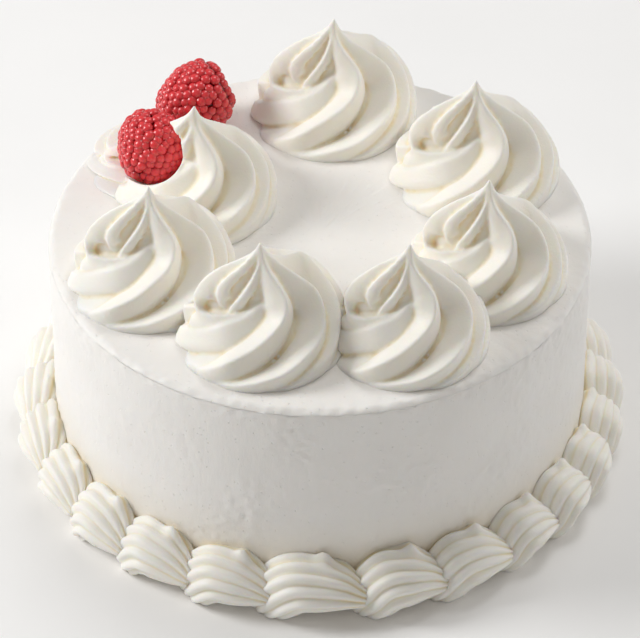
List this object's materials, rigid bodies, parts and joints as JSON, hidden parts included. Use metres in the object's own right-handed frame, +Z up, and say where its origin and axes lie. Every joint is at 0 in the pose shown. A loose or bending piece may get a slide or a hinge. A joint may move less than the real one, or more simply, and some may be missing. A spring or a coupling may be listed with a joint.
{
  "type": "angel food cake",
  "caption": "Round frosted cake with straight sides, piped cream rosettes and raspberries on its flat top, and a piped shell border round its foot.",
  "frame": {"origin": "centre of the cake's flat bottom, on the surface it stands on", "axes": "+Z up through the cake, -Y towards the side with the two front rosettes, +X to the right seen from that side"},
  "size_m": [0.1758, 0.1742, 0.1004],
  "materials": {
    "smooth_frosting": "soft satin white frosting, smoothed with a scraper",
    "piped_cream": "soft creamy white piped frosting",
    "berry_flesh": "moist red fruit"
  },
  "bodies": {
    "root": {"cake_body": "smooth_frosting", "rosette_front_left": "piped_cream", "rosette_front_right": "piped_cream", "rosette_right": "piped_cream", "rosette_back_right": "piped_cream", "rosette_back": "piped_cream", "rosette_left_back": "piped_cream", "rosette_left": "piped_cream", "berry_bed": "piped_cream", "red_berry_back": "berry_flesh", "red_berry_front": "berry_flesh", "shell_01": "piped_cream", "shell_02": "piped_cream", "shell_03": "piped_cream", "shell_04": "piped_cream", "shell_05": "piped_cream", "shell_06": "piped_cream", "shell_07": "piped_cream", "shell_08": "piped_cream", "shell_09": "piped_cream", "shell_10": "piped_cream", "shell_11": "piped_cream", "shell_12": "piped_cream", "shell_13": "piped_cream", "shell_14": "piped_cream", "shell_15": "piped_cream", "shell_16": "piped_cream", "shell_17": "piped_cream", "shell_18": "piped_cream", "shell_19": "piped_cream", "shell_20": "piped_cream", "shell_21": "piped_cream", "shell_22": "piped_cream", "shell_23": "piped_cream", "shell_24": "piped_cream", "shell_25": "piped_cream", "shell_26": "piped_cream"}
  },
  "joints": []
}
